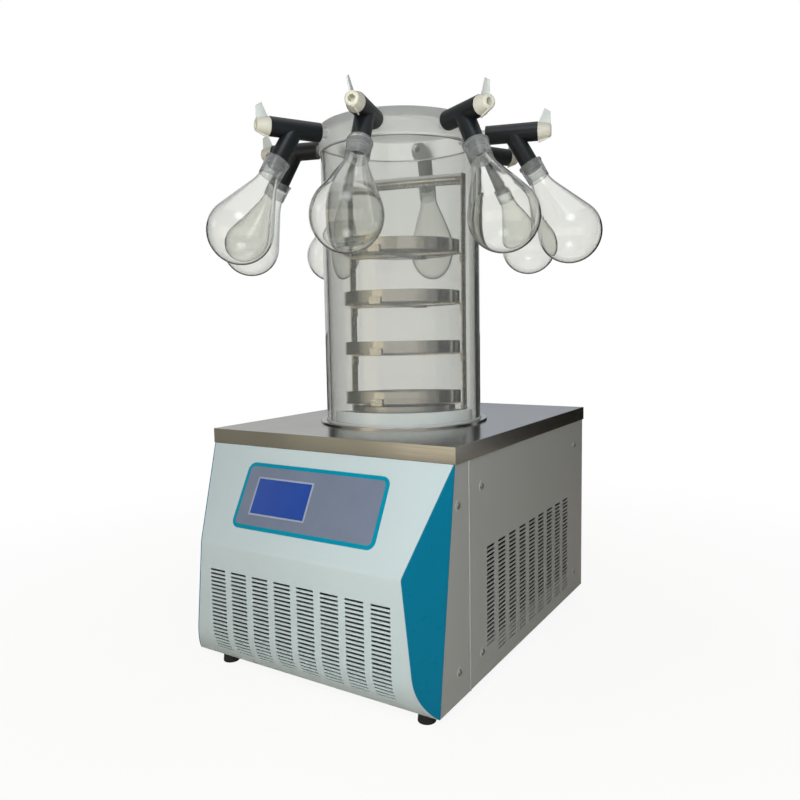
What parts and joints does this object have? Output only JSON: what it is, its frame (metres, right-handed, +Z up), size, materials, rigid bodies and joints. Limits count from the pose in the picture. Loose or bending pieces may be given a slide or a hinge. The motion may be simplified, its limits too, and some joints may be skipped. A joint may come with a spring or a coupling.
{
  "type": "freeze dryer",
  "caption": "Bench-top freeze dryer: cabinet with cold trap, clear chamber with tray rack, and manifold lid with flasks on turning valves.",
  "frame": {"origin": "on the surface it stands on, straight under the axis of the drying chamber", "axes": "+X to the right as seen from the front, +Y to the rear, +Z up"},
  "size_m": [0.6442, 0.6442, 0.877],
  "materials": {
    "fascia_paint": "pale blue-grey powder coat, semi-gloss",
    "panel_paint": "light grey powder coat, semi-gloss",
    "cheek_paint": "teal powder coat, semi-gloss",
    "zinc_sheet": "plain galvanised sheet",
    "worktop_steel": "finely brushed stainless steel",
    "membrane_film": "satin grey film with a teal border",
    "display_blue": "blue display under clear film",
    "foot_rubber": "matt black rubber",
    "screw_steel": "bright steel",
    "trap_steel": "polished stainless steel",
    "foam": "rigid insulation foam",
    "copper_tube": "drawn copper",
    "ring_plastic": "bluish-white moulded plastic",
    "guide_steel": "polished stainless sheet",
    "seal_silicone": "translucent silicone rubber",
    "clear_acrylic": "clear polished acrylic",
    "rack_steel": "satin stainless steel",
    "tray_steel": "polished stainless steel",
    "valve_rubber": "black moulded rubber",
    "knob_plastic": "ivory moulded plastic",
    "collar_silicone": "grey translucent silicone rubber",
    "flask_glass": "clear blown glass",
    "compressor_paint": "black enamel",
    "fin_aluminium": "mill finish",
    "fan_plastic": "black moulded plastic",
    "rotor_plastic": "dark grey moulded plastic",
    "board_laminate": "green laminate with black parts",
    "port_steel": "turned stainless steel",
    "inlet_plastic": "black moulded plastic",
    "rocker_plastic": "red moulded plastic"
  },
  "bodies": {
    "root": {"base_pan": "zinc_sheet", "front_frame": "panel_paint", "fascia": "fascia_paint", "cheek_left": "cheek_paint", "cheek_right": "cheek_paint", "side_panel_left": "panel_paint", "side_panel_right": "panel_paint", "rear_panel": "panel_paint", "worktop": "worktop_steel", "control_overlay": "membrane_film", "display": "display_blue", "feet": "foot_rubber", "panel_screws": "screw_steel", "cold_trap": "trap_steel", "trap_foam": "foam", "evaporator_coil": "copper_tube", "trap_ring": "ring_plastic", "flow_guide": "guide_steel", "base_seal": "seal_silicone", "chamber_tube": "clear_acrylic", "lid_seal": "seal_silicone", "manifold_lid": "clear_acrylic", "rack_frame": "rack_steel", "rack_support_1": "rack_steel", "rack_support_2": "rack_steel", "rack_support_3": "rack_steel", "rack_support_4": "rack_steel", "rack_screws": "screw_steel", "tray_1": "tray_steel", "tray_2": "tray_steel", "tray_3": "tray_steel", "tray_4": "tray_steel", "valve_bodies": "valve_rubber", "flask_collars": "collar_silicone", "flask_1": "flask_glass", "flask_2": "flask_glass", "flask_3": "flask_glass", "flask_4": "flask_glass", "flask_5": "flask_glass", "flask_6": "flask_glass", "flask_7": "flask_glass", "flask_8": "flask_glass", "compressor": "compressor_paint", "condenser": "fin_aluminium", "fan_housing": "fan_plastic", "control_board": "board_laminate", "vacuum_port": "port_steel", "power_inlet": "inlet_plastic"},
    "knob_1": {"valve_knob_1": "knob_plastic"},
    "knob_2": {"valve_knob_2": "knob_plastic"},
    "knob_3": {"valve_knob_3": "knob_plastic"},
    "knob_4": {"valve_knob_4": "knob_plastic"},
    "knob_5": {"valve_knob_5": "knob_plastic"},
    "knob_6": {"valve_knob_6": "knob_plastic"},
    "knob_7": {"valve_knob_7": "knob_plastic"},
    "knob_8": {"valve_knob_8": "knob_plastic"},
    "fan": {"fan_rotor": "rotor_plastic"},
    "rocker": {"power_switch": "rocker_plastic"}
  },
  "joints": [
    {"name": "knob_1_turn", "type": "hinge", "parent": "root", "child": "knob_1", "pos_m": [0.06783, -0.22186, 0.842], "axis": [0.2924, -0.9563, 0], "range_deg": [-12, 168]},
    {"name": "knob_2_turn", "type": "hinge", "parent": "root", "child": "knob_2", "pos_m": [0.20484, -0.10892, 0.842], "axis": [0.8829, -0.4695, 0], "range_deg": [0, 180]},
    {"name": "knob_3_turn", "type": "hinge", "parent": "root", "child": "knob_3", "pos_m": [0.22186, 0.06783, 0.842], "axis": [0.9563, 0.2924, 0], "range_deg": [0, 180]},
    {"name": "knob_4_turn", "type": "hinge", "parent": "root", "child": "knob_4", "pos_m": [0.10892, 0.20484, 0.842], "axis": [0.4695, 0.8829, 0], "range_deg": [0, 180]},
    {"name": "knob_5_turn", "type": "hinge", "parent": "root", "child": "knob_5", "pos_m": [-0.06783, 0.22186, 0.842], "axis": [-0.2924, 0.9563, 0], "range_deg": [0, 180]},
    {"name": "knob_6_turn", "type": "hinge", "parent": "root", "child": "knob_6", "pos_m": [-0.20484, 0.10892, 0.842], "axis": [-0.8829, 0.4695, 0], "range_deg": [0, 180]},
    {"name": "knob_7_turn", "type": "hinge", "parent": "root", "child": "knob_7", "pos_m": [-0.22186, -0.06783, 0.842], "axis": [-0.9563, -0.2924, 0], "range_deg": [0, 180]},
    {"name": "knob_8_turn", "type": "hinge", "parent": "root", "child": "knob_8", "pos_m": [-0.10892, -0.20484, 0.842], "axis": [-0.4695, -0.8829, 0], "range_deg": [0, 180]},
    {"name": "fan_spin", "type": "hinge", "parent": "root", "child": "fan", "pos_m": [0, -0.204, 0.088], "axis": [0, 1, 0], "continuous": true},
    {"name": "rocker_tilt", "type": "hinge", "parent": "root", "child": "rocker", "pos_m": [-0.14, 0.301, 0.126], "axis": [1, 0, 0], "range_deg": [-20, 0]}
  ]
}
